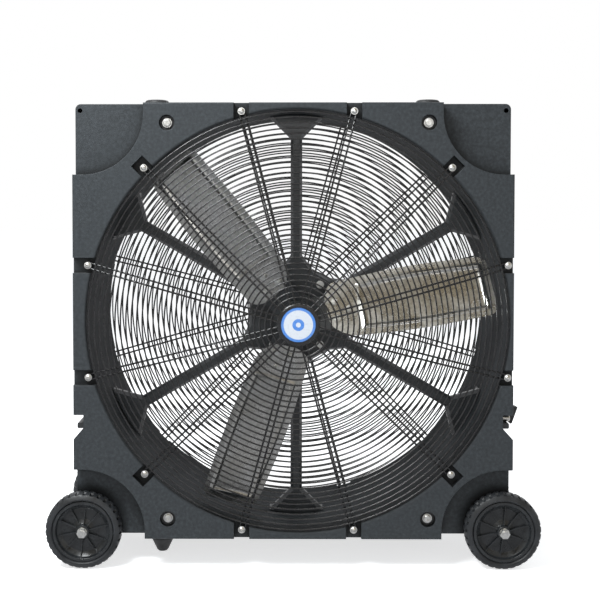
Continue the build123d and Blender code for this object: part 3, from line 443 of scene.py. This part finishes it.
def grid_faces(rows, columns, close_rows=False, close_columns=False):
    """Quads over a grid of vertices stored row by row."""
    faces = []
    for i in range(rows if close_rows else rows - 1):
        for j in range(columns if close_columns else columns - 1):
            a = i * columns + j
            b = i * columns + (j + 1) % columns
            c = ((i + 1) % rows) * columns + (j + 1) % columns
            d = ((i + 1) % rows) * columns + j
            faces.append((a, b, c, d))
    return faces


def lathe(profile, x, z, segments):
    """Turn closed (radius, y) points round an axis along Y."""
    verts = []
    for i in range(segments):
        a = 2 * math.pi * i / segments
        for radius, y in profile:
            verts.append((x + radius * math.cos(a), y, z + radius * math.sin(a)))
    return verts, grid_faces(segments, len(profile), close_rows=True, close_columns=True)


def rounded(points, radius, steps):
    """Closed outline with its corners rounded; each point may give its own radius."""
    out = []
    count = len(points)
    for i in range(count):
        p = np.array(points[i][:2], float)
        r = points[i][2] if len(points[i]) > 2 else radius
        if r == 0:
            out.append(tuple(p))
            continue
        before = np.array(points[i - 1][:2], float) - p
        after = np.array(points[(i + 1) % count][:2], float) - p
        la, lb = np.linalg.norm(before), np.linalg.norm(after)
        cut = min(r, 0.45 * la, 0.45 * lb)
        start, end = p + before / la * cut, p + after / lb * cut
        for k in range(steps + 1):
            t = k / steps
            out.append(tuple((1 - t) ** 2 * start + 2 * t * (1 - t) * p + t ** 2 * end))
    return out


def smoothstep(x):
    """0 below 0, 1 above 1, with a smooth rise between."""
    x = np.clip(x, 0, 1)
    return x * x * (3 - 2 * x)


# ---------------------------------------------------------------- blades
BLADE_PITCH = math.radians(24)
BLADE_FIRST = math.radians(9.4)         # of the first blade, from +X toward +Z
BLADE_Y = -0.092
CAMBER_R = 0.42
BLADE_SHEET = 0.0022
BLADE_ROWS, BLADE_COLUMNS = 150, 84
BLADE_OUTLINE = [                       # (out from the axis, across, corner radius)
    (0.078, 0.040, 0.02), (0.096, 0.076, 0.03), (0.300, 0.090, 0.2), (0.520, 0.080, 0.032),
    (0.520, -0.082, 0.032), (0.300, -0.088, 0.2), (0.128, -0.076, 0.03), (0.084, -0.040, 0.02),
]
BEAD_START = 0.150            # the pressed bead runs round the blade from here out
BEAD_INSET = 0.023
BEAD_WIDTH = 0.0042
BEAD_HEIGHT = 0.0036


def edge_distance(points, outline):
    """Distance from each point to a closed outline."""
    best = np.full(len(points), 1e9)
    loop = np.array(outline)
    for a, b in zip(loop, np.roll(loop, -1, axis=0)):
        span = b - a
        t = np.clip(((points - a) @ span) / (span @ span), 0, 1)
        best = np.minimum(best, np.linalg.norm(points - (a + t[:, None] * span), axis=1))
    return best


def blade_grid(outline):
    """Grid of (u, v) points that fills the outline, with its rows closer together at both ends."""
    loop = np.array(outline)
    low_u, high_u = loop[:, 0].min(), loop[:, 0].max()
    squeezed = 0.5 - 0.5 * np.cos(np.linspace(0.012, 1 - 0.012, BLADE_ROWS) * math.pi)
    even = np.linspace(0.0004, 0.9996, BLADE_ROWS)
    us = low_u + (high_u - low_u) * (0.55 * squeezed + 0.45 * even)
    grid = []
    for u in us:
        crossings = []
        for a, b in zip(loop, np.roll(loop, -1, axis=0)):
            if (a[0] - u) * (b[0] - u) <= 0 and a[0] != b[0]:
                crossings.append(a[1] + (b[1] - a[1]) * (u - a[0]) / (b[0] - a[0]))
        low_v, high_v = min(crossings), max(crossings)
        vs = [low_v + (high_v - low_v) * j / (BLADE_COLUMNS - 1) for j in range(BLADE_COLUMNS)]
        grid.append([(u, v) for v in vs])
    return np.array(grid).reshape(-1, 2)


def blade_verts(angle):
    """Cambered, pitched sheet with a bead pressed round it inside its border."""
    outline = rounded(BLADE_OUTLINE, 0.03, 10)
    points = blade_grid(outline)
    distance = edge_distance(points, outline)
    u, v = points[:, 0], points[:, 1]
    from_border = np.minimum(distance, u - BEAD_START)
    raised = BEAD_HEIGHT * np.exp(-((from_border - BEAD_INSET) / BEAD_WIDTH) ** 2)
    sag = v ** 2 / (2 * CAMBER_R)
    sides = []
    for offset in (-BLADE_SHEET / 2, BLADE_SHEET / 2):
        y = -sag - raised + offset
        across = v * math.cos(BLADE_PITCH) - y * math.sin(BLADE_PITCH)
        depth = v * math.sin(BLADE_PITCH) + y * math.cos(BLADE_PITCH)
        x = FAN_X + u * math.cos(angle) - across * math.sin(angle)
        z = FAN_Z + u * math.sin(angle) + across * math.cos(angle)
        sides.append(np.stack([x, BLADE_Y + depth, z], axis=1))
    return np.concatenate(sides)


def make_blades():
    """Three pressed sheet blades."""
    rows, columns = BLADE_ROWS, BLADE_COLUMNS
    half = rows * columns
    front = grid_faces(rows, columns)
    back = [tuple(half + k for k in face[::-1]) for face in front]
    border = list(range(columns))
    border += [r * columns + columns - 1 for r in range(1, rows)]
    border += [(rows - 1) * columns + j for j in range(columns - 2, -1, -1)]
    border += [r * columns for r in range(rows - 2, 0, -1)]
    rim = [(a, b, half + b, half + a) for a, b in zip(border, border[1:] + border[:1])]
    for i in range(BLADE_COUNT):
        verts = blade_verts(BLADE_FIRST + 2 * math.pi / BLADE_COUNT * i)
        name = "blade_" + str(i + 1)
        add_mesh("pressed_" + name, verts, front + back + rim, "rotor", "blade_metal", name, 50)


# ---------------------------------------------------------------- guard rings
RING_COUNT = 34
RING_FIRST_R = 0.068
RING_WIRE_R = 0.002
RING_WIRE_SIDES = 10


def make_guard_rings(node, side):
    """Rings of round wire on the dome that passes through the CAD rings' rim and centre."""
    low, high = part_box(node)
    last_r = (high.x - low.x) / 2 - RING_WIRE_R
    rim_y = (high.y if side < 0 else low.y) + side * RING_WIRE_R
    top_y = (low.y if side < 0 else high.y) - side * RING_WIRE_R
    rise = abs(top_y - rim_y)
    top_depth = (last_r ** 2 - RING_FIRST_R ** 2 + rise ** 2) / (2 * rise)
    sphere_r = math.hypot(top_depth, RING_FIRST_R)
    centre_depth = math.sqrt(sphere_r ** 2 - last_r ** 2)
    verts, faces = [], []
    for i in range(RING_COUNT):
        radius = RING_FIRST_R + (last_r - RING_FIRST_R) / (RING_COUNT - 1) * i
        y = rim_y + side * (math.sqrt(sphere_r ** 2 - radius ** 2) - centre_depth)
        section = []
        for k in range(RING_WIRE_SIDES):
            a = 2 * math.pi * k / RING_WIRE_SIDES
            section.append((radius + RING_WIRE_R * math.cos(a), y + RING_WIRE_R * math.sin(a)))
        ring_verts, ring_faces = lathe(section, FAN_X, FAN_Z, 48 + 3 * i)
        faces += [tuple(len(verts) + k for k in face) for face in ring_faces]
        verts += ring_verts
    add_mesh("round_" + node, verts, faces, "housing", "guard_wire", node, 60)


# ---------------------------------------------------------------- wheels
TYRE_BEAD_R = 0.0775
LUGS = 32
LUG_DEPTH = 0.0042
LUG_PHASES = (0.0, 0.10, 0.14, 0.46, 0.50, 0.60, 0.64, 0.96)    # parts of one lug's pitch
LUG_GAP = (0.12, 0.48)                                          # the lowered part of a pitch
SMOOTH_SHOULDER = 0.006
HUB_BORE_R, HUB_BOSS_R = 0.00806, 0.0165
HUB_RIM_INNER_R, HUB_RIM_OUTER_R = 0.0685, 0.0774
HUB_DISH = 0.006                        # the disc's outer face, from the wheel's middle
HUB_RIBS = 10
HUB_RIB_HALF = 0.0011


def wheel_place(node):
    """Centre, radius and half width of a wheel, from its CAD tyre."""
    low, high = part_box(node)
    return (low + high) / 2, (high.x - low.x) / 2, (high.y - low.y) / 2


def tyre_profile(radius, half_width):
    """Cross-section of the tyre as (radius, y offset), from the inner bead round the tread."""
    rim, side = TYRE_BEAD_R, half_width
    tread = side - 0.0145
    lug_edges = (-0.0055, -0.0025, 0.0025, 0.0055)
    return rounded([
        (rim, -side + 0.006), (rim + 0.003, -side + 0.001), (radius - 0.014, -side),
        (radius - 0.003, -side + 0.006, 0.007), (radius, -side + 0.014, 0.01),
        *[(radius, y, 0) for y in (-tread, *lug_edges, tread)],
        (radius, side - 0.014, 0.01), (radius - 0.003, side - 0.006, 0.007),
        (radius - 0.014, side), (rim + 0.003, side - 0.001), (rim, side - 0.006),
    ], 0.003, 3)


def make_tyre(node, body, outward):
    """Solid tyre with a smooth outer shoulder and two staggered rows of lugs behind it."""
    centre, radius, half_width = wheel_place(node)
    profile = tyre_profile(radius, half_width)
    verts = []
    for lug in range(LUGS):
        for phase in LUG_PHASES:
            a = 2 * math.pi * (lug + phase) / LUGS
            for r, y in profile:
                shift = phase if y * outward < 0 else (phase + 0.5) % 1.0
                in_gap = LUG_GAP[0] < shift < LUG_GAP[1]
                near_tread = smoothstep((r - radius + 0.016) / 0.006)
                off_middle = smoothstep((abs(y) - 0.003) / 0.002)
                off_shoulder = smoothstep((half_width - SMOOTH_SHOULDER - y * outward) / 0.002)
                depth = LUG_DEPTH * float(near_tread * off_middle * off_shoulder) if in_gap else 0.0
                verts.append((centre.x + (r - depth) * math.cos(a), centre.y + y,
                              centre.z + (r - depth) * math.sin(a)))
    rows = LUGS * len(LUG_PHASES)
    faces = grid_faces(rows, len(profile), close_rows=True, close_columns=True)
    add_mesh("treaded_" + node, verts, faces, body, "tyre", node, 40)


def hub_profile(half_width):
    """Cross-section of the hub as (radius, y offset)."""
    bore, boss, dish = HUB_BORE_R, HUB_BOSS_R, HUB_DISH
    rim_in, rim_out, y_rim = HUB_RIM_INNER_R, HUB_RIM_OUTER_R, half_width - 0.0035
    return rounded([
        (bore, -half_width + 0.001), (bore, half_width - 0.0005), (boss, half_width - 0.0005),
        (boss + 0.001, dish + 0.006), (boss + 0.012, dish), (rim_in - 0.012, dish - 0.002),
        (rim_in - 0.001, dish + 0.006), (rim_in + 0.001, y_rim), (rim_out, y_rim),
        (rim_out, -y_rim), (rim_in + 0.001, -y_rim), (rim_in - 0.001, -0.004),
        (boss + 0.001, -0.004), (boss, -half_width + 0.001),
    ], 0.0016, 3)


def rib_outline(half_width):
    """Side view of one rib as (radius, y offset)."""
    boss, rim, dish = HUB_BOSS_R, HUB_RIM_INNER_R, HUB_DISH
    return [(boss - 0.001, dish - 0.001), (boss - 0.001, half_width - 0.006),
            (boss + 0.012, dish + 0.008), (rim - 0.008, dish + 0.004),
            (rim + 0.001, dish + 0.008), (rim + 0.001, dish - 0.001)]


def make_wheel_hub(node, tyre_node, body, outward):
    """Dished hub with a rolled rim, ten thin ribs and a boss, on its CAD axle."""
    centre, _, half_width = wheel_place(tyre_node)
    profile = [(r, centre.y + outward * y) for r, y in hub_profile(half_width)]
    verts, faces = lathe(profile, centre.x, centre.z, 96)
    outline = rib_outline(half_width)
    count = len(outline)
    for i in range(HUB_RIBS):
        a = 2 * math.pi * (i + 0.35) / HUB_RIBS
        along = np.array((math.cos(a), math.sin(a)))
        across = np.array((-math.sin(a), math.cos(a)))
        start = len(verts)
        for side in (-1, 1):
            for r, y in outline:
                spot = along * r + across * HUB_RIB_HALF * side
                verts.append((centre.x + spot[0], centre.y + outward * y, centre.z + spot[1]))
        faces.append(tuple(start + k for k in range(count)))
        faces.append(tuple(start + count + k for k in reversed(range(count))))
        for k in range(count):
            n = (k + 1) % count
            faces.append((start + k, start + n, start + count + n, start + count + k))
    add_mesh("ribbed_" + node, verts, faces, body, "wheel_plastic", node, 40)


def make_wheels():
    """Four wheels; the dished side faces away from the housing."""
    for along, outward in (("front", -1), ("rear", 1)):
        for across in ("left", "right"):
            stem = along + "_" + across
            body = stem + "_wheel"
            make_tyre(stem + "_tyre", body, outward)
            make_wheel_hub(stem + "_wheel_hub", stem + "_tyre", body, outward)


# ---------------------------------------------------------------- badge
def make_badge():
    """Slightly domed printed disc on the front centre plate."""
    low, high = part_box("badge_disc")
    crown = 0.0006
    steps = 8
    profile = [(0.0001, high.y), (BADGE_R - 0.0005, high.y), (BADGE_R, high.y - 0.0005),
               (BADGE_R, low.y + 0.0006), (BADGE_R - 0.0006, low.y + 0.0001)]
    for k in range(1, steps):
        r = BADGE_R * (1 - k / steps)
        profile.append((r, low.y - crown * (1 - (r / BADGE_R) ** 2)))
    profile.append((0.0001, low.y - crown))
    verts, faces = lathe(profile, FAN_X, FAN_Z, 96)
    add_mesh("printed_badge", verts, faces, "housing", "badge_blue", "badge_disc", 30)


# ---------------------------------------------------------------- CAD nodes
def paint_cad_nodes():
    """Every CAD node that stays visible takes its slot's material."""
    slots = {row["node"]: row["material_slot"] for row in frame["record"]["subparts"]}
    for name, node in frame["nodes"].items():
        if node.hide_render:
            continue
        node.data.materials.clear()
        node.data.materials.append(materials[slots[name]])


make_camera()
make_studio()
materials = make_materials()
make_blades()
make_guard_rings("front_guard_rings", -1)
make_guard_rings("rear_guard_rings", 1)
make_wheels()
make_badge()
paint_cad_nodes()
